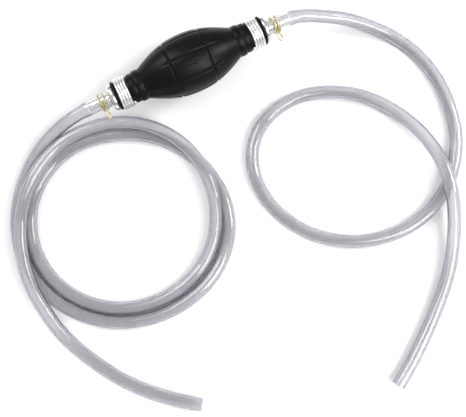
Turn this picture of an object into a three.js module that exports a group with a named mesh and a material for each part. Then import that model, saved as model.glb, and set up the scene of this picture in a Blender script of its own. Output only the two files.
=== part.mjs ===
// Hand-primer siphon pump: a rubber squeeze bulb with a check-valve fitting and a clear hose at each end.
// Millimetres, +Z up, standing surface at z = 0. The bulb's axis lies along X: water enters at -X and leaves at +X.

import * as THREE from "three";

// ---- Driving dimensions -------------------------------------------------------------------------------

const BULB_RADIUS = 23; // belly of the squeeze bulb, which rests on the surface
const BELLY_HALF = 38.5; // half length of the belly, from its middle to a neck
const BELLY_FULLNESS = 1.15; // 1 is a plain cosine; more is fuller round the middle
const NECK_RADIUS = 12; // where the belly meets a neck
const BULB_WALL = 3;
const NECK_BORE = 8.7; // inside radius of a neck
const NECK_END = 62; // distance of a neck's lip from the middle
const CLAMP_SEAT_RADIUS = 10.1; // rubber squeezed by the wound wire
const CLAMP_SEAT = [49, 60]; // where the wound wire lies on a neck

const SPIGOT_START = 46;
const SPIGOT_RADIUS = 8;
const CHAMBER_RADIUS = 6.1; // valve chamber in the spigot
const CHAMBER_END = 60;
const FLANGE = { start: 62.3, end: 66.3, radius: 10.65 };
const BARB = { end: 83.5, root: 4.15, crest: 4.5, tip: 3.9, bore: 2.9 };

const NECK_WIRE = { radius: 1.02, turns: 4.1, pitch: 2.15, coil: 11.55 };
const HOSE_WIRE = { radius: 0.55, coil: 6.65, middle: 72.5, wide: 1.95, narrow: 0.7, ear: 1.5 };

const TOUCH_GAP = 0.3; // kept between pieces that touch
const HOSE_RADIUS = 5;
const HOSE_BORE = 4;
const HOSE_STRETCH = 0.75; // how much the barb widens the hose's end
const HOSE_START = 66.7; // distance of a hose's end face from the middle
const HOSE_STEP = 20; // length of one straight piece of a hose, two diameters
const HOSE_REST = HOSE_RADIUS + TOUCH_GAP; // height of a hose's centre line where it lies on the surface

const COIL = { x: -97, y: -87, inner: 62.3, outer: 88, height: 11 };
const ON_COIL = COIL.height + HOSE_RADIUS + TOUCH_GAP; // centre height of a hose that lies on the coil

const AXIS_HEIGHT = BULB_RADIUS;
const ROUND = 24; // sides of a small turned piece
const BULB_SIDES = 32;

// ---- Materials ----------------------------------------------------------------------------------------

function material(color, roughness, metalness) {
  return new THREE.MeshStandardMaterial({ color, roughness, metalness });
}

const blackRubber = () => material(0x1b1b1c, 0.55, 0);
const sealRubber = () => material(0x242424, 0.7, 0);
const turnedMetal = () => material(0xd6d8da, 0.25, 1);
const zincWire = () => material(0xcfd3d4, 0.3, 1);
const yellowZincWire = () => material(0xd8c26a, 0.35, 1);
const springSteel = () => material(0xb9bcc0, 0.3, 1);
const valvePlastic = () => material(0xe9e7df, 0.45, 0);
const clearVinyl = () => material(0xdfe0e8, 0.12, 0);

// ---- Shapes -------------------------------------------------------------------------------------------

/** A solid turned about X. outline holds [distance from the bulb's middle, radius]; side is -1 or +1. */
function turned(outline, side, sides = ROUND) {
  const closed = [...outline, outline[0]];
  const doubleArea = outline.reduce((sum, [x, r], i) => sum + r * closed[i + 1][0] - closed[i + 1][1] * x, 0);
  const ordered = doubleArea > 0 ? closed : closed.reverse();
  const geometry = new THREE.LatheGeometry(ordered.map(([x, r]) => new THREE.Vector2(r, x)), sides);
  geometry.rotateZ((-side * Math.PI) / 2);
  geometry.translate(0, 0, AXIS_HEIGHT);
  return geometry;
}

/** A regular polygon as a THREE.Shape or THREE.Path. */
function polygonPath(radius, sides, PathClass) {
  const path = new PathClass();
  path.moveTo(radius, 0);
  for (let i = 1; i < sides; i++) {
    const angle = (2 * Math.PI * i) / sides;
    path.lineTo(radius * Math.cos(angle), radius * Math.sin(angle));
  }
  path.closePath();
  return path;
}

/** A round wire swept along points. */
function wire(points, radius, steps, sides = 6) {
  const section = polygonPath(radius, sides, THREE.Shape);
  const extrudePath = new THREE.CatmullRomCurve3(points, false, "centripetal");
  return new THREE.ExtrudeGeometry(section, { steps, extrudePath, curveSegments: 1 });
}

/** A hollow hose along points. */
function hose(points) {
  const curve = new THREE.CatmullRomCurve3(points, false, "centripetal");
  curve.arcLengthDivisions = 1000;
  const section = polygonPath(HOSE_RADIUS, 10, THREE.Shape);
  section.holes.push(polygonPath(HOSE_BORE, 12, THREE.Path));
  const steps = Math.round(curve.getLength() / HOSE_STEP);
  return new THREE.ExtrudeGeometry(section, { steps, extrudePath: curve, curveSegments: 1 });
}

/** Widens the end of a hose that is pushed onto a barb. */
function stretchOverBarb(geometry) {
  const position = geometry.attributes.position;
  const stretchEnd = HOSE_START + HOSE_STEP + 3;
  for (let i = 0; i < position.count; i++) {
    const [x, y, z] = [position.getX(i), position.getY(i), position.getZ(i) - AXIS_HEIGHT];
    if (Math.abs(x) > stretchEnd || Math.hypot(y, z) > 2 * HOSE_RADIUS) continue;
    const scale = 1 + HOSE_STRETCH / Math.hypot(y, z);
    position.setXYZ(i, x, y * scale, AXIS_HEIGHT + z * scale);
  }
  return geometry;
}

function mesh(name, geometry, finish) {
  const part = new THREE.Mesh(geometry, finish);
  part.name = name;
  return part;
}

// ---- Squeeze bulb -------------------------------------------------------------------------------------

/** Outside radius of the belly at a distance from its middle. */
function bellyRadius(x) {
  const along = (x / BELLY_HALF) ** BELLY_FULLNESS;
  return NECK_RADIUS + (BULB_RADIUS - NECK_RADIUS) * Math.cos((Math.PI / 2) * along);
}

function primerBulb() {
  const bellySteps = 7;
  const [seatStart, seatEnd] = CLAMP_SEAT;
  const halfOutside = [];
  for (let i = 0; i <= bellySteps; i++) {
    const x = (BELLY_HALF * i) / bellySteps;
    halfOutside.push([x, bellyRadius(x)]);
  }
  halfOutside.push([39.2, 12.2], [44, 12.1], [44.6, 11.3], [seatStart - 0.6, 11.4]);
  halfOutside.push([seatStart, CLAMP_SEAT_RADIUS], [seatEnd, CLAMP_SEAT_RADIUS]);
  halfOutside.push([seatEnd + 0.3, 11.4], [NECK_END - 0.5, 11.4], [NECK_END, 10.9]);
  const halfInside = [];
  for (let i = 0; i < bellySteps; i++) {
    const x = (BELLY_HALF * i) / bellySteps;
    halfInside.push([x, bellyRadius(x) - BULB_WALL]);
  }
  halfInside.push([44, NECK_BORE], [NECK_END, NECK_BORE]);
  const mirrored = (half) => half.slice(1).map(([x, r]) => [-x, r]).reverse();
  const outside = [...mirrored(halfOutside), ...halfOutside];
  const inside = [...mirrored(halfInside), ...halfInside];
  return mesh("primer_bulb", turned([...outside, ...inside.reverse()], 1, BULB_SIDES), blackRubber());
}

// ---- End fittings -------------------------------------------------------------------------------------

/** Spigot with two ridges, rounded flange and hose barb, with the valve chamber in the spigot. */
function connector(name, side) {
  const outline = [
    [SPIGOT_START, CHAMBER_RADIUS],
    [SPIGOT_START, SPIGOT_RADIUS - 0.4],
    [SPIGOT_START + 0.6, SPIGOT_RADIUS],
  ];
  for (const ridge of [50.5, 55.5]) {
    outline.push([ridge, SPIGOT_RADIUS], [ridge + 1.5, SPIGOT_RADIUS + 0.4], [ridge + 1.5, SPIGOT_RADIUS]);
  }
  outline.push([FLANGE.start, SPIGOT_RADIUS], [FLANGE.start, FLANGE.radius], [64, FLANGE.radius]);
  outline.push([65.3, 10], [66, 8.7], [FLANGE.end, 7], [FLANGE.end, BARB.root]);
  for (const crest of [71, 76.5, 82]) {
    outline.push([crest, BARB.root], [crest, BARB.crest], [crest + 1.2, BARB.root]);
  }
  outline.push([BARB.end, BARB.tip], [BARB.end, BARB.bore], [CHAMBER_END, BARB.bore], [CHAMBER_END, CHAMBER_RADIUS]);
  return mesh(name, turned(outline, side), turnedMetal());
}

// ---- Check valves -------------------------------------------------------------------------------------
// Both valves pass water towards +X. flow is the x of the valve seat's upstream face.

function valveSeat(name, flow) {
  const outline = [[0, 2.9], [0, 5.8], [2, 5.8], [2, 4.2], [2.4, 3.9], [2.4, 3.2], [2.1, 2.9]];
  return mesh(name, turned(outline.map(([x, r]) => [flow + x, r]), 1), valvePlastic());
}

function valveSeal(name, flow) {
  const outline = [[2.7, 1.5], [2.7, 4.6], [3.7, 4.6], [3.7, 1.5]];
  return mesh(name, turned(outline.map(([x, r]) => [flow + x, r]), 1), sealRubber());
}

/** Disc with a nub that carries the seal and a stem that the cage guides. */
function valvePoppet(name, flow) {
  const outline = [[2.8, 0], [2.8, 1.2], [4, 1.2], [4, 4.6], [5.2, 4.6], [5.2, 1.2], [13.2, 1.2], [13.5, 0.9], [13.5, 0]];
  return mesh(name, turned(outline.map(([x, r]) => [flow + x, r]), 1, 16), valvePlastic());
}

function valveSpring(name, flow) {
  const [start, end, coilRadius, turns, perTurn] = [5.8, 10.9, 2.6, 4, 12];
  const points = [];
  for (let i = 0; i <= turns * perTurn; i++) {
    const angle = (2 * Math.PI * i) / perTurn;
    const x = flow + start + ((end - start) * i) / (turns * perTurn);
    points.push(new THREE.Vector3(x, coilRadius * Math.cos(angle), AXIS_HEIGHT + coilRadius * Math.sin(angle)));
  }
  return mesh(name, wire(points, 0.25, turns * perTurn, 5), springSteel());
}

/** Perforated disc that holds the spring and guides the stem. */
function valveCage(name, flow) {
  const [start, thickness, windows] = [11.2, 1.6, 3];
  const shape = polygonPath(5.8, ROUND, THREE.Shape);
  shape.holes.push(polygonPath(1.55, 12, THREE.Path));
  for (let i = 0; i < windows; i++) {
    const [from, to] = [(2 * Math.PI * i) / windows + 0.3, (2 * Math.PI * (i + 1)) / windows - 0.3];
    const window = new THREE.Path();
    const corners = 6;
    for (let k = 0; k <= corners; k++) {
      const angle = from + ((to - from) * k) / corners;
      const [x, y] = [4.9 * Math.cos(angle), 4.9 * Math.sin(angle)];
      if (k === 0) window.moveTo(x, y);
      else window.lineTo(x, y);
    }
    for (let k = corners; k >= 0; k--) {
      const angle = from + ((to - from) * k) / corners;
      window.lineTo(3 * Math.cos(angle), 3 * Math.sin(angle));
    }
    window.closePath();
    shape.holes.push(window);
  }
  const geometry = new THREE.ExtrudeGeometry(shape, { depth: thickness, bevelEnabled: false, curveSegments: 1 });
  geometry.rotateY(Math.PI / 2);
  geometry.translate(flow + start, 0, AXIS_HEIGHT);
  return mesh(name, geometry, valvePlastic());
}

// ---- Wire clamps --------------------------------------------------------------------------------------

/** A point at an angle around the bulb's axis, from straight up towards -Y, in degrees. */
function aroundAxis(x, radius, degrees) {
  const angle = THREE.MathUtils.degToRad(degrees);
  return new THREE.Vector3(x, -radius * Math.sin(angle), AXIS_HEIGHT + radius * Math.cos(angle));
}

/** Steel wire wound tightly round a neck of the bulb. */
function neckClamp(name, side) {
  const [seatStart, seatEnd] = CLAMP_SEAT;
  const perTurn = 16;
  const count = Math.round(NECK_WIRE.turns * perTurn);
  const width = NECK_WIRE.turns * NECK_WIRE.pitch;
  const first = (seatStart + seatEnd) / 2 - width / 2;
  const points = [];
  for (let i = 0; i <= count; i++) {
    const x = first + (width * i) / count;
    points.push(aroundAxis(side * x, NECK_WIRE.coil, 75 + (360 * i) / perTurn));
  }
  return mesh(name, wire(points, NECK_WIRE.radius, count), zincWire());
}

/** One spring wire bent double: two strands round the hose, two free ends and a drop-shaped ear. */
function hoseClamp(name, side) {
  const { radius, coil, middle, wide, narrow, ear } = HOSE_WIRE;
  const strand = [ // angle, distance from the hose's axis, half the distance between the strands
    [20, coil + 4, wide],
    [32, coil + 1.2, wide],
    [55, coil, wide],
  ];
  for (let angle = 80; angle <= 360; angle += 28) strand.push([angle, coil, wide]);
  strand.push([385, coil, 1.2], [410, coil, narrow], [435, coil, narrow], [449, coil + 1, narrow]);
  strand.push([453, coil + 3, 1.1], [454, coil + 5.2, ear]);
  const leg = (sign) => strand.map(([angle, r, half]) => aroundAxis(side * (middle + sign * half), r, angle));
  const tip = aroundAxis(side * middle, coil + 7, 454);
  const steps = 104;
  return mesh(name, wire([...leg(-1), tip, ...leg(1).reverse()], radius, steps, 5), yellowZincWire());
}

// ---- Hoses --------------------------------------------------------------------------------------------

const at = (x, y, z = HOSE_REST) => new THREE.Vector3(x, y, z);

function inletHoseLead() {
  const route = [
    at(-HOSE_START, 0, AXIS_HEIGHT),
    at(-76, 0, AXIS_HEIGHT),
    at(-87, 0, AXIS_HEIGHT),
    at(-97, -0.5, 22),
    at(-106, -1.4, 19.9),
    at(-115, -2.7, 17.8),
    at(-124, -4.9, ON_COIL),
  ];
  return mesh("inlet_hose_lead", stretchOverBarb(hose(route)), clearVinyl());
}

/** The two turns of the inlet hose that lie on the surface, as one ring of their outer shape. */
function inletHoseCoil() {
  const middle = (COIL.inner + COIL.outer) / 2;
  const halfWidth = (COIL.outer - COIL.inner) / 2;
  const sides = 10;
  const outline = [];
  for (let i = 0; i <= sides; i++) {
    const angle = (2 * Math.PI * (i + 0.5)) / sides;
    const across = (halfWidth * Math.cos(angle)) / Math.cos(Math.PI / sides);
    outline.push(new THREE.Vector2(middle + across, (COIL.height / 2) * (1 + Math.sin(angle))));
  }
  const geometry = new THREE.LatheGeometry(outline, 40);
  geometry.rotateX(Math.PI / 2);
  geometry.translate(COIL.x, COIL.y, 0);
  return mesh("inlet_hose_coil", geometry, clearVinyl());
}

/** The rest of the inlet hose: it lies on the coil for almost half a turn, then comes down to the surface. */
function inletHoseTail() {
  const [arcRadius, arcStart, arcEnd, arcStep] = [75.6, 24, 144, 12]; // degrees from +X
  const route = [];
  for (let degrees = arcStart; degrees <= arcEnd; degrees += arcStep) {
    const angle = THREE.MathUtils.degToRad(degrees);
    route.push(at(COIL.x + arcRadius * Math.cos(angle), COIL.y + arcRadius * Math.sin(angle), ON_COIL));
  }
  route.push(
    at(-167.3, -55.7, ON_COIL),
    at(-173.7, -70.7, ON_COIL),
    at(-177.6, -87, ON_COIL),
    at(-179, -104.4, ON_COIL),
    at(-178.3, -123.2, 15),
    at(-174.5, -144.3, 11),
    at(-168.5, -161.5, 7.2),
    at(-159.3, -179),
    at(-148.5, -195.8),
    at(-135.3, -211),
    at(-123.4, -222),
    at(-112, -231.2, 5.7),
    at(-100, -239.5, 6.6),
  );
  return mesh("inlet_hose_tail", hose(route), clearVinyl());
}

function outletHose() {
  const route = [
    at(HOSE_START, 0, AXIS_HEIGHT),
    at(76, 0, AXIS_HEIGHT),
    at(87, 0, AXIS_HEIGHT),
    at(98.5, -3.5, 21.8),
    at(112, -9.3, 18.4),
    at(127, -16, 13.8),
    at(142.5, -27.5, 9.3),
    at(155.5, -40.5, 6.4),
    at(166, -57),
    at(172, -75.5),
    at(174.5, -94),
    at(173, -114),
    at(167, -137),
    at(157, -153.5),
    at(145, -167),
    at(128.5, -177.5),
    at(111, -183.5),
    at(92, -185.3),
    at(58.5, -177.5),
    at(29.5, -156.5),
    at(13, -128.5),
    at(9.5, -104),
    at(14.7, -83),
    at(28.5, -66),
    at(47, -57.5),
    at(69, -55.5),
    at(92, -62),
    at(115, -77, 6.3),
    at(132.5, -101, 10),
    at(141.5, -125.5, 14.2),
    at(144.3, -150, 16.2),
    at(141.5, -171, 16),
    at(133.5, -194.5, 12.8),
    at(116, -225.5, 7.2),
    at(91.5, -251),
    at(68.5, -270),
    at(53.5, -281, 5.6),
    at(40.5, -289, 6.6),
  ];
  return mesh("outlet_hose", stretchOverBarb(hose(route)), clearVinyl());
}

// ---- Assembly -----------------------------------------------------------------------------------------

const INLET_VALVE = -(CHAMBER_END - 0.3); // the inlet's seat is at the barb's end of its chamber
const OUTLET_VALVE = SPIGOT_START + 0.6; // the outlet's seat is at the mouth of its chamber

const siphon = new THREE.Group();
siphon.add(primerBulb());
for (const [end, side, flow] of [
  ["inlet", -1, INLET_VALVE],
  ["outlet", 1, OUTLET_VALVE],
]) {
  siphon.add(connector(`${end}_connector`, side));
  siphon.add(valveSeat(`${end}_valve_seat`, flow));
  siphon.add(valveSeal(`${end}_valve_seal`, flow));
  siphon.add(valvePoppet(`${end}_valve_poppet`, flow));
  siphon.add(valveSpring(`${end}_valve_spring`, flow));
  siphon.add(valveCage(`${end}_valve_cage`, flow));
  siphon.add(neckClamp(`${end}_neck_clamp`, side));
  siphon.add(hoseClamp(`${end}_hose_clamp`, side));
}
siphon.add(inletHoseLead(), inletHoseCoil(), inletHoseTail(), outletHose());

export default siphon;
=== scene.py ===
"""Looks of the hand siphon: squeeze bulb, check-valve connectors, wire clamps and clear hoses.

Metres, in the frame of the CAD model: the bulb's axis is +X at AXIS_HEIGHT, the floor is z = 0.
"""

import math

import bmesh
import bpy
import numpy as np
from mathutils import Matrix, Vector


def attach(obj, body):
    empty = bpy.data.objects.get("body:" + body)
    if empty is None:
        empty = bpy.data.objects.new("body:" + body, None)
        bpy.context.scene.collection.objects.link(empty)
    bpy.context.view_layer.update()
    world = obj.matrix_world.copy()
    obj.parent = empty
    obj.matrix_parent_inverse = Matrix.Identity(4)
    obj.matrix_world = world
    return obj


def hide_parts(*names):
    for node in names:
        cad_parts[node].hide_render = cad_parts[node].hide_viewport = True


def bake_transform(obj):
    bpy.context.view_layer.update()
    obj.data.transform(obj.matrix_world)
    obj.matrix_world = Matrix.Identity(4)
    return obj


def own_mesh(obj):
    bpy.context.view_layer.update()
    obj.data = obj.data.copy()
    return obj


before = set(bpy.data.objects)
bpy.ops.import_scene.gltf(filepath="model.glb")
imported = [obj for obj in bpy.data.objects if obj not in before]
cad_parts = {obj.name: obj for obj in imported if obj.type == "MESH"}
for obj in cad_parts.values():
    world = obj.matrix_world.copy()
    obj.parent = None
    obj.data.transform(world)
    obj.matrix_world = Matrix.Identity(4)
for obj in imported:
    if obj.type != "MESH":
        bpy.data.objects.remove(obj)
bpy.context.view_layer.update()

AXIS_HEIGHT = 0.023  # of the bulb's axis above the floor
MM = 0.001

# --- sizes, in millimetres ---
BULB_RADIUS = 23
NECK_RADIUS = 12
BELLY_HALF = 38.5
BELLY_FULLNESS = 1.15
BULB_WALL = 3
NECK_BORE = 8.7
RING_GROOVE = {"at": 14.7, "half_width": 0.55, "depth": 0.75}
LONG_GROOVE = {"count": 8, "half_width": 0.7, "depth": 0.85}
ARROW = {"angle": 22, "tail": -5, "neck": 3.4, "tip": 7, "half": 0.42, "head_half": 1.5, "height": 0.4}
NECK_WIRE = {"radius": 1.02, "turns": 4.1, "pitch": 2.15, "coil": 11.55, "middle": 54.5}
HOSE_WIRE = {"radius": 0.55, "coil": 6.65, "middle": 72.5, "wide": 1.95, "narrow": 0.7, "ear": 1.5}
HOSE = {"outside": 5, "bore": 4, "stretch": 0.75, "start": 66.7, "barb_end": 83.5, "relaxed": 93}
HOSE_SIDES = 36
BARB_STRETCH = {"length": 0.032, "step": 0.001}  # metres of hose near the barb, with rings close together
HOSE_STEP = 0.003  # metres between the rings of the rest of the hose
INLET_VALVE = -59.7  # where each valve's upstream face is
OUTLET_VALVE = 46.6
CAP_RADIUS = 0.06  # an outline that starts nearer to the axis than this is solid
SPRING = {"start": 5.8, "length": 5.1, "coil": 2.6, "turns": 4, "radius": 0.25}

# --- hose routes: points that the centreline passes near, in metres ---
INLET_LEAD = [
    (-0.0667, 0, 0.023), (-0.076, 0, 0.023), (-0.087, 0, 0.0228), (-0.097, -0.0005, 0.0212),
    (-0.106, -0.0014, 0.0183),
]
COIL_CENTRE = (-0.097, -0.087)
# angle about COIL_CENTRE in degrees, radius and height in millimetres
INLET_TURNS = [
    (102, 86.1, 14.8), (111, 86.2, 9.4), (121, 85.2, 5.4), (144, 82.9, 5), (180, 82.3, 5),
    (216, 79.2, 5), (246, 78.2, 5), (276, 78.9, 5), (306, 82, 5), (330, 82.9, 5), (350, 79.8, 5),
    (372, 74.9, 5), (396, 71, 5), (420, 68.3, 5), (440, 68.3, 5), (468, 71, 5), (500, 72.5, 5),
    (540, 71.6, 5), (576, 68.8, 5), (612, 67.4, 5), (642, 68.5, 5), (668, 71, 5.6), (690, 72.1, 8.6),
    (710, 72.8, 13), (730, 73.9, 15.7), (756, 75.2, 14.8), (786, 75.9, 13), (816, 76.1, 13.5),
    (840, 76, 14.4), (870, 76.8, 14.4), (892, 79, 14.7), (908, 82.6, 15.5), (922, 88, 14),
]
INLET_TAIL = [
    (-0.1745, -0.1443, 0.0100), (-0.1685, -0.1615, 0.0066), (-0.1593, -0.179, 0.0051),
    (-0.1485, -0.1958, 0.0050), (-0.1353, -0.211, 0.0050), (-0.1234, -0.222, 0.0050),
    (-0.112, -0.2312, 0.0054), (-0.100, -0.2395, 0.0063),
]
OUTLET_ROUTE = [
    (0.0667, 0, 0.023), (0.076, 0, 0.023), (0.087, 0, 0.0229), (0.0985, -0.0035, 0.0218),
    (0.112, -0.0093, 0.0184), (0.127, -0.016, 0.0138), (0.1425, -0.0275, 0.0092),
    (0.1555, -0.0405, 0.0061), (0.166, -0.057, 0.005), (0.172, -0.0755, 0.005),
    (0.1745, -0.094, 0.005), (0.173, -0.114, 0.005), (0.167, -0.137, 0.005),
    (0.157, -0.1535, 0.005), (0.145, -0.167, 0.005), (0.1285, -0.1775, 0.005),
    (0.111, -0.1835, 0.005), (0.092, -0.1853, 0.005), (0.0585, -0.1775, 0.005),
    (0.0295, -0.1565, 0.005), (0.013, -0.1285, 0.005), (0.0095, -0.104, 0.005),
    (0.0147, -0.083, 0.005), (0.0285, -0.066, 0.005), (0.047, -0.0575, 0.005),
    (0.069, -0.0555, 0.005), (0.092, -0.062, 0.005), (0.115, -0.077, 0.0062),
    (0.1325, -0.101, 0.0098), (0.1415, -0.1255, 0.0138), (0.1443, -0.150, 0.0158),
    (0.1415, -0.171, 0.0156), (0.1335, -0.1945, 0.0124), (0.116, -0.2255, 0.007),
    (0.0915, -0.251, 0.0051), (0.0685, -0.270, 0.005), (0.0535, -0.281, 0.0053),
    (0.0405, -0.289, 0.0063),
]
ROUTE_STEP = 0.0025
MEAN_TURN = 0.075  # radius at which the turns are evened out
FLOOR_HALF = 3.0


# --- camera ---
CAMERA = {
    "lens": 54.08,
    "place": (-0.04008, -0.16584, 0.54606),
    "back": (-0.0441, -0.0948, 0.9945),
    "right": (0.9068, -0.4217, 0),
}


def make_camera():
    """The camera at the photograph's viewing angle, nearly straight down."""
    data = bpy.data.cameras.new("view")
    data.sensor_width = 36
    data.sensor_fit = "HORIZONTAL"
    data.lens = CAMERA["lens"]
    data.clip_start = 0.01
    camera = bpy.data.objects.new("view", data)
    bpy.context.scene.collection.objects.link(camera)
    back = Vector(CAMERA["back"]).normalized()
    right = Vector(CAMERA["right"]).normalized()
    up = back.cross(right)
    place = Matrix((right, up, back)).transposed().to_4x4()
    place.translation = CAMERA["place"]
    camera.matrix_world = place
    bpy.context.scene.camera = camera


# --- curves ---
def catmull(points, step):
    """A centripetal Catmull-Rom curve through the points."""
    p = np.array(points, float)
    p = np.vstack([2 * p[0] - p[1], p, 2 * p[-1] - p[-2]])
    line = []
    for i in range(1, len(p) - 2):
        p0, p1, p2, p3 = p[i - 1 : i + 3]
        t0 = 0
        t1 = t0 + np.linalg.norm(p1 - p0) ** 0.5
        t2 = t1 + np.linalg.norm(p2 - p1) ** 0.5
        t3 = t2 + np.linalg.norm(p3 - p2) ** 0.5
        count = max(2, math.ceil(np.linalg.norm(p2 - p1) / step))
        t = np.linspace(t1, t2, count, endpoint=False)[:, None]
        a1 = (t1 - t) / (t1 - t0) * p0 + (t - t0) / (t1 - t0) * p1
        a2 = (t2 - t) / (t2 - t1) * p1 + (t - t1) / (t2 - t1) * p2
        a3 = (t3 - t) / (t3 - t2) * p2 + (t - t2) / (t3 - t2) * p3
        b1 = (t2 - t) / (t2 - t0) * a1 + (t - t0) / (t2 - t0) * a2
        b2 = (t3 - t) / (t3 - t1) * a2 + (t - t1) / (t3 - t1) * a3
        line.append((t2 - t) / (t2 - t1) * b1 + (t - t1) / (t2 - t1) * b2)
    return np.vstack([*line, p[-2:-1]])


def lengths_along(line):
    """Length of the line up to each of its points."""
    return np.concatenate([[0], np.cumsum(np.linalg.norm(np.diff(line, axis=0), axis=1))])


def at_lengths(line, lengths):
    """The points of the line at the given lengths along it."""
    along = lengths_along(line)
    return np.stack([np.interp(lengths, along, line[:, k]) for k in range(3)], axis=1)


def evenly(line, step):
    """The same line with its points about a step apart."""
    total = lengths_along(line)[-1]
    return at_lengths(line, np.linspace(0, total, round(total / step) + 1))


def smoothed(line, reach, step, passes=3):
    """Each point becomes the mean of its neighbours within reach; the ends stay."""
    n = round(reach / step)
    for _ in range(passes):
        longer = np.vstack([2 * line[0] - line[n:0:-1], line, 2 * line[-1] - line[-2 : -n - 2 : -1]])
        sums = np.cumsum(np.vstack([np.zeros(3), longer]), axis=0)
        line = (sums[2 * n + 1 :] - sums[: -2 * n - 1]) / (2 * n + 1)
    return line


def route(points, reach=0.006):
    """An even, smooth line that passes near the points."""
    return smoothed(evenly(catmull(points, ROUTE_STEP / 2), ROUTE_STEP), reach, ROUTE_STEP)


def coil_turns():
    """The loose turns of the inlet hose, smooth in angle, radius and height."""
    flat = [(math.radians(a) * MEAN_TURN, r * MM, z * MM) for a, r, z in INLET_TURNS]
    arc, radius, height = route(flat, reach=0.010).T
    angle = arc / MEAN_TURN
    x = COIL_CENTRE[0] + radius * np.cos(angle)
    y = COIL_CENTRE[1] + radius * np.sin(angle)
    return np.stack([x, y, height], axis=1)


def inlet_route():
    """The whole inlet hose: from its barb, round the turns and out to its cut end."""
    return route([*INLET_LEAD, *coil_turns()[2:-2:6], *INLET_TAIL])


def around_axis(x, radius, degrees):
    """A point round the bulb's axis, in millimetres: 0 degrees is the top, 90 is towards -Y."""
    a = np.radians(degrees)
    y, z = -radius * np.sin(a), AXIS_HEIGHT / MM + radius * np.cos(a)
    return np.stack(np.broadcast_arrays(x, y, z), axis=-1)


# --- meshes ---
def piece(name, vertices, faces, material, sharp=40):
    """A smooth-shaded mesh object; edges steeper than sharp degrees stay sharp."""
    mesh = bpy.data.meshes.new(name)
    mesh.from_pydata([tuple(v) for v in vertices], [], faces)
    shell = bmesh.new()
    shell.from_mesh(mesh)
    bmesh.ops.recalc_face_normals(shell, faces=shell.faces)
    shell.to_mesh(mesh)
    shell.free()
    mesh.shade_smooth()
    mesh.set_sharp_from_angle(angle=math.radians(sharp))
    mesh.materials.append(material)
    made = bpy.data.objects.new(name, mesh)
    bpy.context.scene.collection.objects.link(made)
    return made


def grid_faces(rows, columns, closed):
    """Quads of a grid that is closed across its columns; its rows close too, or end in two caps."""
    faces = []
    for i in range(rows if closed else rows - 1):
        here = i * columns
        there = (i + 1) % rows * columns
        for k in range(columns):
            n = (k + 1) % columns
            faces.append((here + k, here + n, there + n, there + k))
    if not closed:
        faces.append(tuple(range(columns - 1, -1, -1)))
        faces.append(tuple(range((rows - 1) * columns, rows * columns)))
    return faces


def line_frames(line):
    """Unit tangent and two cross directions at each point, without twist."""
    tangents = np.gradient(line, axis=0)
    tangents /= np.linalg.norm(tangents, axis=1)[:, None]
    start = (0, 0, 1) if abs(tangents[0][2]) < 0.8 else (0, 1, 0)
    across = []
    last = np.array(start, float)
    for t in tangents:
        last = last - t * (last @ t)
        last /= np.linalg.norm(last)
        across.append(last)
    across = np.array(across)
    return tangents, across, np.cross(tangents, across)


def rings(centres, first, second, radii, sides):
    """Points of one ring round each centre, in the plane of its two cross directions."""
    angle = np.linspace(0, 2 * np.pi, sides, endpoint=False)
    reach = first[:, None] * np.cos(angle)[None, :, None] + second[:, None] * np.sin(angle)[None, :, None]
    return (centres[:, None] + reach * np.asarray(radii)[:, None, None]).reshape(-1, 3)


def wire(name, points, radius, step, material, sides=14):
    """A round wire along a smooth curve through points, with rounded ends. Millimetres."""
    line = evenly(catmull(points, step), step)
    tangents, first, second = line_frames(line)
    cap = np.radians([70, 45, 20])
    back = radius * np.sin(cap)[:, None]
    centres = np.vstack([line[0] - tangents[0] * back, line, line[-1] + tangents[-1] * back[::-1]])
    radii = np.concatenate([radius * np.cos(cap), np.full(len(line), radius), radius * np.cos(cap[::-1])])
    ends = len(cap)
    first = np.vstack([first[:1].repeat(ends, 0), first, first[-1:].repeat(ends, 0)])
    second = np.vstack([second[:1].repeat(ends, 0), second, second[-1:].repeat(ends, 0)])
    vertices = rings(centres, first, second, radii, sides) * MM
    return piece(name, vertices, grid_faces(len(centres), sides, False), material)


def turned(name, outline, material, at=0, side=1, sides=96, sharp=35):
    """A piece turned round the bulb's axis from an outline of (x, radius) in millimetres.

    The outline is a closed ring, or a solid with two small end caps if it starts near the axis.
    """
    x, radii = np.array(outline, float).T
    centres = np.stack([at + side * x, 0 * x, AXIS_HEIGHT / MM + 0 * x], axis=1)
    first = np.tile([0, -1, 0], (len(x), 1))
    second = np.tile([0, 0, 1], (len(x), 1))
    vertices = rings(centres, first, second, radii, sides) * MM
    closed = radii[0] > CAP_RADIUS
    return piece(name, vertices, grid_faces(len(x), sides, closed), material, sharp)


# --- materials ---
def shader(name, **values):
    """A material and its shader, with the given values on the shader's own sockets."""
    material = bpy.data.materials.new(name)
    material.use_nodes = True
    principled = material.node_tree.nodes["Principled BSDF"]
    for socket, value in values.items():
        principled.inputs[socket.replace("_", " ")].default_value = value
    return material, principled


def noise(material, scale, detail=3, stretch=(1, 1, 1)):
    """Noise over the surface, with scale in spots per metre."""
    nodes, links = material.node_tree.nodes, material.node_tree.links
    place = nodes.new("ShaderNodeTexCoord")
    mapping = nodes.new("ShaderNodeMapping")
    mapping.inputs["Scale"].default_value = stretch
    texture = nodes.new("ShaderNodeTexNoise")
    texture.inputs["Scale"].default_value = scale
    texture.inputs["Detail"].default_value = detail
    links.new(place.outputs["Object"], mapping.inputs["Vector"])
    links.new(mapping.outputs["Vector"], texture.inputs["Vector"])
    return texture.outputs["Fac"]


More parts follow.
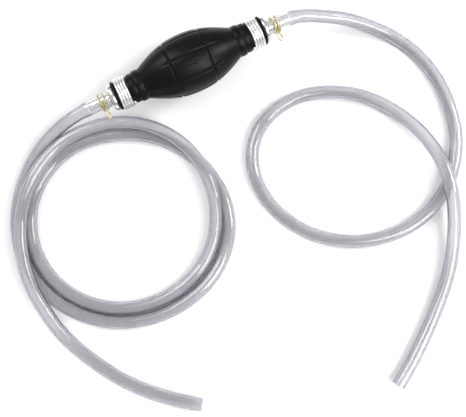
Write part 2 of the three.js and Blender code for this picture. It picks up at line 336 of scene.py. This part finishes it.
def vary_colour(material, principled, source, low, high):
    """Base colour that wanders between low and high with the source."""
    ramp = material.node_tree.nodes.new("ShaderNodeValToRGB")
    ramp.color_ramp.elements[0].position = 0.3
    ramp.color_ramp.elements[1].position = 0.7
    ramp.color_ramp.elements[0].color = (*low, 1)
    ramp.color_ramp.elements[1].color = (*high, 1)
    material.node_tree.links.new(source, ramp.inputs["Fac"])
    material.node_tree.links.new(ramp.outputs["Color"], principled.inputs["Base Color"])


def vary_roughness(material, principled, source, low, high):
    """Roughness that wanders between low and high with the source."""
    spread = material.node_tree.nodes.new("ShaderNodeMapRange")
    spread.inputs["From Min"].default_value = 0.3
    spread.inputs["From Max"].default_value = 0.7
    spread.inputs["To Min"].default_value = low
    spread.inputs["To Max"].default_value = high
    material.node_tree.links.new(source, spread.inputs["Value"])
    material.node_tree.links.new(spread.outputs["Result"], principled.inputs["Roughness"])


def bump(material, principled, source, strength, distance):
    """Fine relief from the source; distance is its height in metres."""
    node = material.node_tree.nodes.new("ShaderNodeBump")
    node.inputs["Strength"].default_value = strength
    node.inputs["Distance"].default_value = distance
    material.node_tree.links.new(source, node.inputs["Height"])
    material.node_tree.links.new(node.outputs["Normal"], principled.inputs["Normal"])


def black_rubber():
    material, principled = shader("black_rubber", Specular_IOR_Level=0.15)
    mottle = noise(material, 160)
    vary_colour(material, principled, mottle, (0.002, 0.002, 0.0019), (0.0035, 0.0035, 0.0033))
    vary_roughness(material, principled, noise(material, 420, 4), 0.31, 0.40)
    bump(material, principled, noise(material, 2600, 2), 0.12, 0.00004)
    return material


def seal_rubber():
    material, principled = shader("seal_rubber")
    vary_colour(material, principled, noise(material, 600), (0.02, 0.02, 0.02), (0.035, 0.034, 0.033))
    vary_roughness(material, principled, noise(material, 900), 0.6, 0.75)
    return material


def turned_metal():
    material, principled = shader("turned_metal", Metallic=1.0)
    rings_of_tool = noise(material, 900, 2, stretch=(6, 0.2, 0.2))
    vary_colour(material, principled, noise(material, 300), (0.72, 0.72, 0.715), (0.86, 0.86, 0.85))
    vary_roughness(material, principled, rings_of_tool, 0.12, 0.24)
    bump(material, principled, rings_of_tool, 0.25, 0.00003)
    return material


def zinc_wire():
    material, principled = shader("zinc_wire", Metallic=1.0)
    vary_colour(material, principled, noise(material, 420, 4), (0.80, 0.80, 0.775), (0.93, 0.93, 0.90))
    vary_roughness(material, principled, noise(material, 800), 0.26, 0.34)
    bump(material, principled, noise(material, 3000, 2), 0.06, 0.00003)
    return material


def yellow_zinc_wire():
    material, principled = shader("yellow_zinc_wire", Metallic=1.0)
    vary_colour(material, principled, noise(material, 260, 4), (0.52, 0.44, 0.22), (0.74, 0.67, 0.42))
    vary_roughness(material, principled, noise(material, 900), 0.24, 0.38)
    bump(material, principled, noise(material, 3000, 2), 0.15, 0.00003)
    return material


def spring_steel():
    material, principled = shader("spring_steel", Metallic=1.0)
    vary_colour(material, principled, noise(material, 700), (0.55, 0.56, 0.58), (0.72, 0.72, 0.73))
    vary_roughness(material, principled, noise(material, 1500), 0.2, 0.32)
    return material


def valve_plastic():
    scatter = (MM, MM, MM)
    material, principled = shader("valve_plastic", Subsurface_Weight=0.05, Subsurface_Radius=scatter)
    vary_colour(material, principled, noise(material, 350), (0.76, 0.74, 0.68), (0.84, 0.82, 0.76))
    vary_roughness(material, principled, noise(material, 1200), 0.38, 0.5)
    bump(material, principled, noise(material, 4000, 2), 0.1, 0.00003)
    return material


def mixed_colour(material, factor, first, second):
    """The colour first where factor is 0 and second where it is 1; each is a socket or a constant."""
    nodes, links = material.node_tree.nodes, material.node_tree.links
    mix = nodes.new("ShaderNodeMix")
    mix.data_type = "RGBA"
    sockets = {k.identifier: k for k in mix.inputs}
    links.new(factor, sockets["Factor_Float"])
    for identifier, colour in (("A_Color", first), ("B_Color", second)):
        if isinstance(colour, tuple):
            sockets[identifier].default_value = (*colour, 1)
        else:
            links.new(colour, sockets[identifier])
    return next(k for k in mix.outputs if k.identifier == "Result_Color")


def clear_vinyl():
    """Faintly tinted clear hose, deeper in tint where the eye looks along its wall.

    Where it grips a barb its tint is painted nearly clear, a painted lightening of the hose over the barb.
    """
    material, principled = shader("clear_vinyl", Transmission_Weight=0.84, IOR=1.5, Roughness=0.06)
    vary_colour(material, principled, noise(material, 60, 2), (0.80, 0.795, 0.814), (0.84, 0.835, 0.854))
    nodes, links = material.node_tree.nodes, material.node_tree.links
    body_tint = principled.inputs["Base Color"].links[0].from_socket
    edge = nodes.new("ShaderNodeLayerWeight")
    edge.inputs["Blend"].default_value = 0.5
    spread = nodes.new("ShaderNodeMapRange")
    spread.interpolation_type = "SMOOTHSTEP"
    spread.inputs["From Min"].default_value = 0.3
    spread.inputs["From Max"].default_value = 0.6
    links.new(edge.outputs["Facing"], spread.inputs["Value"])
    with_edges = mixed_colour(material, spread.outputs["Result"], body_tint, (0.16, 0.145, 0.25))
    # painted light: over the barb the tint is painted nearly clear, by the grip mask
    painted_clear_grip = nodes.new("ShaderNodeAttribute")
    painted_clear_grip.attribute_name = "painted_clear_grip"
    tint = mixed_colour(material, painted_clear_grip.outputs["Fac"], with_edges, (0.985, 0.98, 0.985))
    links.new(tint, principled.inputs["Base Color"])
    return material


def pale_floor():
    material, principled = shader("pale_floor", Specular_IOR_Level=0.2)
    vary_colour(material, principled, noise(material, 30), (0.89, 0.89, 0.89), (0.91, 0.91, 0.91))
    vary_roughness(material, principled, noise(material, 90), 0.75, 0.85)
    return material


# --- the hoses ---
def hose(name, line):
    """A hollow clear hose along line, widened at its start by the barb."""
    total = lengths_along(line)[-1]
    close = BARB_STRETCH["length"]
    near_barb = np.arange(0, close, BARB_STRETCH["step"])
    stations = np.concatenate([near_barb, np.linspace(close, total, round((total - close) / HOSE_STEP))])
    centres = at_lengths(line, stations)
    _, first, second = line_frames(centres)
    past_barb = stations / MM + HOSE["start"] - HOSE["barb_end"]
    relax = np.clip(past_barb / (HOSE["relaxed"] - HOSE["barb_end"]), 0, 1)
    widened = HOSE["stretch"] * (1 - relax * relax * (3 - 2 * relax))
    outside = (HOSE["outside"] + widened) * MM
    inside = (HOSE["bore"] + widened) * MM
    edge = 0.15 * MM  # bevel of the cut ends
    outside[[0, -1]] -= edge
    inside[[0, -1]] += edge
    outer = rings(centres, first, second, outside, HOSE_SIDES)
    inner = rings(centres[::-1], first[::-1], second[::-1], inside[::-1], HOSE_SIDES)
    faces = grid_faces(2 * len(stations), HOSE_SIDES, True)
    made = piece(name, np.vstack([outer, inner]), faces, vinyl, sharp=60)
    # mask of the painted lightening: 1 where the hose grips the barb, fading to 0 past its end
    on_barb = 1 - np.clip(past_barb / 1.5, 0, 1)
    values = np.repeat(np.concatenate([on_barb, on_barb[::-1]]), HOSE_SIDES)
    painted_clear_grip = made.data.attributes.new("painted_clear_grip", "FLOAT", "POINT")
    painted_clear_grip.data.foreach_set("value", values.astype(np.float32))
    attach(made, "pump")
    return made, centres


def make_hoses():
    """Both hoses, each a cord that stands for its CAD solids."""
    inlet, line = hose("inlet_hose_clear", inlet_route())
    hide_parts("inlet_hose_lead", "inlet_hose_coil", "inlet_hose_tail")
    outlet, line = hose("outlet_hose_clear", route(OUTLET_ROUTE))
    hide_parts("outlet_hose")


# --- the bulb ---
# half of the bulb's outside, from past the shoulder to the lip and round it to the bore:
# (distance from the middle, radius)
NECK_OUTSIDE = [
    (38.75, 11.88), (39.0, 11.85), (39.25, 11.95), (39.5, 12.12), (39.9, 12.22), (40.6, 12.27),
    (42.6, 12.25), (43.4, 12.2), (43.8, 12.1), (44.05, 11.9), (44.2, 11.55), (44.4, 11.28), (44.6, 11.22),
    (44.8, 11.28), (45.1, 11.4), (45.6, 11.45), (47.8, 11.45), (48.3, 11.38), (48.6, 11.2), (48.8, 10.85),
    (48.9, 10.5), (49.2, 10.4), (54.5, 10.42), (59.8, 10.4), (60.05, 10.5), (60.15, 10.9), (60.3, 11.2),
    (60.55, 11.38), (60.75, 11.4), (60.95, 11.3), (61.1, 11.25), (61.25, 11.3), (61.45, 11.4),
    (61.7, 11.36), (61.9, 11.15), (62.0, 10.8), (62.0, 9.6), (61.9, 9.15), (61.6, 8.85), (61.2, 8.7),
]


def belly_radius(x):
    """Outside radius of the belly at a distance from its middle."""
    along = (np.abs(x) / BELLY_HALF) ** BELLY_FULLNESS
    return NECK_RADIUS + (BULB_RADIUS - NECK_RADIUS) * np.cos(np.pi / 2 * along)


def spaced(marks):
    """Numbers from the first mark to the last; each mark is (value, step used up to the next mark)."""
    values = []
    for (start, step), (stop, _) in zip(marks, marks[1:]):
        values.append(np.arange(start, stop - step * 0.4, step))
    return np.concatenate([*values, [marks[-1][0]]])


def bulb_relief(x, degrees):
    """How far the moulded detail stands off the belly: grooves are negative, the arrow is positive."""
    radius = belly_radius(x)
    ring = np.exp(-(((np.abs(x) - RING_GROOVE["at"]) / RING_GROOVE["half_width"]) ** 2))
    relief = -RING_GROOVE["depth"] * ring
    spacing = 360 / LONG_GROOVE["count"]
    nearest = (degrees + spacing / 2) % spacing - spacing / 2
    off_line = np.radians(nearest) * radius / LONG_GROOVE["half_width"]
    # the long grooves die out before the necks, over 11 mm at the outlet end and 8 mm at the inlet end
    fade = np.clip((27 - x) / 11, 0, 1) * np.clip((x + 23) / 8, 0, 1)
    fade = fade * fade * (3 - 2 * fade)
    relief = np.minimum(relief, -LONG_GROOVE["depth"] * fade * np.exp(-(off_line**2)))
    across = np.abs(np.radians(degrees - ARROW["angle"]) * radius)
    shaft = np.minimum(ARROW["half"] - across, np.minimum(x - ARROW["tail"], ARROW["neck"] + 0.6 - x))
    slope = (ARROW["tip"] - x) / (ARROW["tip"] - ARROW["neck"]) * ARROW["head_half"]
    head = np.minimum((slope - across) * 0.9, x - ARROW["neck"])
    raised = np.clip(np.maximum(shaft, head) / 0.3 + 0.5, 0, 1)
    return relief + ARROW["height"] * raised * raised * (3 - 2 * raised)


def make_bulb():
    """The one-piece bulb: belly with its relief, two necks, and the hollow inside."""
    ring = RING_GROOVE["at"]
    beyond = [(ring - 1.4, 0.14), (ring + 1.4, 0.6), (30, 0.5), (BELLY_HALF, 1)]
    right = spaced([(0, 0.25), (8, 0.6), *beyond])
    left = spaced([(0, 0.25), (5.6, 0.6), *beyond])
    neck = np.array(NECK_OUTSIDE)
    hollow = np.linspace(-46, 46, 47)
    x = np.concatenate([-neck[::-1, 0], -left[::-1], right[1:], neck[:, 0], hollow[::-1]])
    belly = np.concatenate([-left[::-1], right[1:]])
    inside = np.maximum(belly_radius(np.clip(hollow, -BELLY_HALF, BELLY_HALF)) - BULB_WALL, NECK_BORE)
    radii = np.concatenate([neck[::-1, 1], belly_radius(belly), neck[:, 1], inside])
    # angles are close together at each long groove, and at the arrow in the first sector
    panels = LONG_GROOVE["count"]
    panel = 360 // panels
    sector = spaced([(0, 0.4), (2.8, 2.2), (42.2, 0.4), (panel, 1)])
    first_sector = spaced([(0, 0.4), (2.8, 1.6), (16, 0.4), (28, 1.6), (42.2, 0.4), (panel, 1)])
    degrees = np.concatenate([first_sector[:-1], *[panel * k + sector[:-1] for k in range(1, panels)]])
    signed = (degrees + 180) % 360 - 180
    relief = np.zeros((len(x), len(degrees)))
    rows = slice(len(neck), len(neck) + len(belly))
    relief[rows] = bulb_relief(belly[:, None], signed[None, :])
    spread = radii[:, None] + relief
    points = around_axis(x[:, None], spread, degrees[None, :]).reshape(-1, 3) * MM
    bulb = piece("bulb_rubber", points, grid_faces(len(x), len(degrees), True), rubber, sharp=70)
    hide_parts("primer_bulb")
    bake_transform(bulb)


# --- fittings and clamps ---
def connector_outline():
    """The turned fitting from its spigot to its barb and back along its bore.

    Each point is (distance from the bulb's middle, radius).
    """
    outline = [(46, 7.5), (46.4, 7.9), (46.8, 8)]
    for ridge in (50.5, 55.5):
        outline += [(ridge, 8), (ridge + 0.1, 8.35), (ridge + 0.3, 8.4), (ridge + 1.5, 8)]
    outline += [(62.2, 8), (62.3, 10.2), (62.42, 10.5), (62.7, 10.65), (63.9, 10.65), (64.4, 10.55)]
    outline += [(64.9, 10.3), (65.4, 9.85), (65.8, 9.25), (66.1, 8.5), (66.25, 7.7), (66.3, 6.9)]
    outline += [(66.3, 4.4), (66.5, 4.2)]
    for crest in (71, 76.5, 82):
        outline += [(crest - 0.05, 4.2), (crest, 4.5), (crest + 0.1, 4.58), (crest + 0.25, 4.56)]
        outline.append((crest + 1.1, 4.2))
    outline += [(83.25, 4.0), (83.42, 3.95), (83.5, 3.8), (83.5, 3.05), (83.4, 2.92), (83.2, 2.9)]
    outline += [(60.2, 2.9), (60, 3.1), (60, 6.1), (46.2, 6.1), (46, 6.3)]
    return outline


def make_fittings():
    """Both end fittings, each with its neck winding and its hose clip."""
    turns, pitch = NECK_WIRE["turns"], NECK_WIRE["pitch"]
    for end, side in (("inlet", -1), ("outlet", 1)):
        fitting = turned(f"{end}_fitting", connector_outline(), metal, side=side)
        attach(fitting, "pump")
        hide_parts(f"{end}_connector")
        turn = np.linspace(0, turns, round(turns * 36) + 1)
        x = side * (NECK_WIRE["middle"] + (turn - turns / 2) * pitch)
        path = around_axis(x, NECK_WIRE["coil"], 75 + 360 * turn)
        winding = wire(f"{end}_neck_winding", path, NECK_WIRE["radius"], 1.2, zinc, sides=18)
        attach(winding, "pump")
        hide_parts(f"{end}_neck_clamp")
        clip = wire(f"{end}_hose_clip", hose_clip_points(side), HOSE_WIRE["radius"], 0.4, yellow_zinc)
        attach(clip, "pump")
        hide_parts(f"{end}_hose_clamp")


def hose_clip_points(side):
    """One bent wire: round the hose, out to the tip of the ear and back round beside itself."""
    coil, wide, narrow = HOSE_WIRE["coil"], HOSE_WIRE["wide"], HOSE_WIRE["narrow"]
    middle = HOSE_WIRE["middle"]
    # each point is (angle, distance from the hose's axis, half the distance between the strands)
    strand = [(20, coil + 4, wide), (32, coil + 1.2, wide), (55, coil, wide)]
    strand += [(angle, coil, wide) for angle in range(80, 361, 28)]
    strand += [(385, coil, 1.2), (410, coil, narrow), (435, coil, narrow), (449, coil + 1, narrow)]
    strand += [(453, coil + 3, 1.1), (454, coil + 5.2, HOSE_WIRE["ear"])]
    out = [around_axis(side * (middle + half), radius, angle) for angle, radius, half in strand]
    back = [around_axis(side * (middle - half), radius, angle) for angle, radius, half in strand[::-1]]
    tip = around_axis(side * middle, coil + 7, 454)
    return [*out, tip, *back]


# --- valves ---
# outlines from the valve's upstream face: (distance downstream, radius) in millimetres
SEAT = [
    (0.15, 2.9), (0, 3.05), (0, 5.65), (0.15, 5.8), (1.85, 5.8), (2, 5.65), (2, 4.35), (2.08, 4.22),
    (2.3, 4.05), (2.4, 3.9), (2.4, 3.25), (2.3, 3.1), (2.1, 2.9),
]
SEAL = [
    (2.78, 1.5), (2.7, 1.6), (2.7, 4.4), (2.78, 4.54), (2.95, 4.6), (3.45, 4.6), (3.62, 4.54), (3.7, 4.4),
    (3.7, 1.6), (3.62, 1.5),
]
POPPET = [
    (2.8, 0.05), (2.8, 1.1), (2.9, 1.2), (3.95, 1.2), (4, 1.25), (4, 4.45), (4.12, 4.56), (4.3, 4.6),
    (4.95, 4.6), (5.12, 4.54), (5.2, 4.4), (5.2, 1.3), (5.3, 1.2), (13.1, 1.2), (13.3, 1.12), (13.46, 0.9),
    (13.5, 0.6), (13.5, 0.05),
]


def make_valves():
    """Both check valves: the seat, spring and cage stay, and the poppet carries the seal."""
    for end, at in (("inlet", INLET_VALVE), ("outlet", OUTLET_VALVE)):
        for part, outline, body, material, slot in (
            ("seat", SEAT, "pump", acetal, "valve_plastic"),
            ("seal", SEAL, f"{end}_valve", seal, "seal_rubber"),
            ("poppet", POPPET, f"{end}_valve", acetal, "valve_plastic"),
        ):
            ring = turned(f"{end}_check_{part}", outline, material, at=at, sides=64)
            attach(ring, body)
            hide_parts(f"{end}_valve_{part}")
        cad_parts[f"{end}_valve_cage"].material_slots[0].material = acetal
        turns, start = SPRING["turns"], at + SPRING["start"]
        turn = np.linspace(0, turns, 24 * turns + 1)
        path = around_axis(start + SPRING["length"] * turn / turns, SPRING["coil"], 360 * turn)
        spring = wire(f"{end}_spring_wire", path, SPRING["radius"], 0.5, steel, sides=10)
        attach(spring, "pump")
        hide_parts(f"{end}_valve_spring")
        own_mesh(spring)


# --- floor and light ---
def make_stage():
    """The pale surface that the object lies on."""
    corners = [(x * FLOOR_HALF, y * FLOOR_HALF, 0) for x, y in ((-1, -1), (1, -1), (1, 1), (-1, 1))]
    floor = piece("floor", corners, [(0, 1, 2, 3)], pale)


def area_light(name, place, target, width, length, watts):
    """A rectangular lamp that points at its target."""
    data = bpy.data.lights.new(name, "AREA")
    data.shape = "RECTANGLE"
    data.size = width
    data.size_y = length
    data.energy = watts
    lamp = bpy.data.objects.new(name, data)
    bpy.context.scene.collection.objects.link(lamp)
    lamp.location = place
    lamp.rotation_euler = (Vector(target) - Vector(place)).to_track_quat("-Z", "Y").to_euler()


def make_light():
    """Grey surroundings that are brighter overhead, and three lamps."""
    world = bpy.data.worlds.new("studio")
    bpy.context.scene.world = world
    world.use_nodes = True
    nodes, links = world.node_tree.nodes, world.node_tree.links
    direction = nodes.new("ShaderNodeTexCoord")
    split = nodes.new("ShaderNodeSeparateXYZ")
    ramp = nodes.new("ShaderNodeValToRGB")
    ramp.color_ramp.elements[0].color = (0.27, 0.275, 0.29, 1)
    ramp.color_ramp.elements[1].position = 0.75
    ramp.color_ramp.elements[1].color = (0.62, 0.625, 0.64, 1)
    links.new(direction.outputs["Generated"], split.inputs["Vector"])
    links.new(split.outputs["Z"], ramp.inputs["Fac"])
    links.new(ramp.outputs["Color"], nodes["Background"].inputs["Color"])
    area_light("key", (0.5, -0.98, 1.15), (0, -0.1, 0), 0.55, 1.3, 16.5)
    area_light("back", (-0.5, 0.8, 1.15), (0, -0.1, 0), 0.55, 1.1, 11.5)
    area_light("side", (1.15, -0.3, 0.95), (0, 0, 0.02), 0.5, 0.5, 10)
    bpy.context.scene.view_settings.view_transform = "Standard"


make_camera()
vinyl = clear_vinyl()
make_hoses()
rubber = black_rubber()
seal = seal_rubber()
metal = turned_metal()
zinc = zinc_wire()
yellow_zinc = yellow_zinc_wire()
steel = spring_steel()
acetal = valve_plastic()
pale = pale_floor()
make_bulb()
make_fittings()
make_valves()
make_stage()
make_light()
